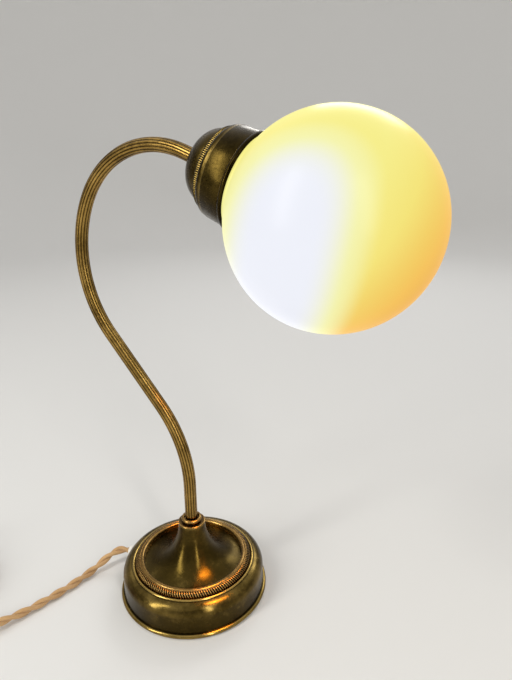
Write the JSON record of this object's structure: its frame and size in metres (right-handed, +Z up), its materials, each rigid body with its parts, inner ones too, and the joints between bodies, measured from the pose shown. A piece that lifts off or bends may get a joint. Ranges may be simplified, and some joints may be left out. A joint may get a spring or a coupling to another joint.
{
  "type": "table lamp",
  "caption": "Table lamp with a round weighted brass base, a reeded swan neck and an opal glass globe in a turned cup that points down a little.",
  "frame": {"origin": "centre of the base's underside on the table", "axes": "+Z up; the neck and the globe lie in the XZ plane with the globe towards +X"},
  "size_m": [0.4397, 0.2721, 0.3923],
  "materials": {
    "aged_brass": "polished, aged",
    "cast_iron": "as cast, painted black",
    "zinc_steel": "zinc plated",
    "felt": "green felt",
    "white_plastic": "moulded white",
    "dark_plastic": "moulded dark",
    "bakelite": "black phenolic",
    "porcelain": "glazed porcelain",
    "bare_brass": "plain brass",
    "nickel": "nickel plated",
    "lamp_cap": "bare aluminium",
    "black_glass": "black glass insulator",
    "frosted_glass": "frosted",
    "opal_glass": "opal white, glossy",
    "seal_rubber": "soft black rubber",
    "cord_cloth": "gold and tan braided cloth, two twisted cores",
    "flex_sheath": "smooth sheath",
    "tie_plastic": "hook and loop band"
  },
  "bodies": {
    "stand": {"base_locknut": "zinc_steel", "base_milled_ring": "aged_brass", "base_shell": "aged_brass", "base_trumpet": "aged_brass", "base_washer": "zinc_steel", "base_weight": "cast_iron", "bottom_plate": "zinc_steel", "coil_tie": "tie_plastic", "cord_clamp": "dark_plastic", "cord_coil": "cord_cloth", "cord_gland": "white_plastic", "cord_lead": "cord_cloth", "cord_link": "cord_cloth", "cord_tail": "cord_cloth", "cup_dome": "aged_brass", "cup_milled_ring": "aged_brass", "cup_skirt": "aged_brass", "felt_pad": "felt", "gland_nut": "white_plastic", "globe_thread_ring": "bare_brass", "holder_barrel": "bakelite", "holder_cap": "bakelite", "holder_insulator": "porcelain", "inner_flex": "flex_sheath", "neck_collar": "aged_brass", "neck_tube": "aged_brass", "plate_screws": "zinc_steel", "plug_body": "white_plastic", "plug_pin_collars": "dark_plastic", "plug_pins": "nickel", "plug_sleeve": "white_plastic", "rocker_pin": "zinc_steel", "shade_ring": "bakelite", "socket_contact": "bare_brass", "socket_shell": "bare_brass", "switch_lower": "white_plastic", "switch_screws": "zinc_steel", "switch_terminals": "bare_brass", "switch_upper": "white_plastic", "terminal_screws": "bare_brass"},
    "seal": {"globe_seal": "seal_rubber"},
    "globe": {"globe": "opal_glass"},
    "bulb": {"bulb_cap": "lamp_cap", "bulb_insulator": "black_glass", "bulb_contact": "bare_brass", "bulb_glass": "frosted_glass"},
    "rocker": {"switch_rocker": "white_plastic"}
  },
  "joints": [
    {"name": "globe_turn", "type": "hinge", "parent": "stand", "child": "seal", "pos_m": [0.05872, 0, 0.34747], "axis": [0.9336, 0, -0.3584], "range_deg": [0, 540]},
    {"name": "globe_draw_off", "type": "slide", "parent": "seal", "child": "globe", "axis": [0.9336, 0, -0.3584], "range_m": [0, 0.11]},
    {"name": "bulb_draw_out", "type": "slide", "parent": "stand", "child": "bulb", "axis": [0.9336, 0, -0.3584], "range_m": [0, 0.028]},
    {"name": "switch_rock", "type": "hinge", "parent": "stand", "child": "rocker", "pos_m": [-0.134, -0.156, 0.0094], "axis": [0.8192, -0.5736, 0], "range_deg": [-24, 0]}
  ]
}
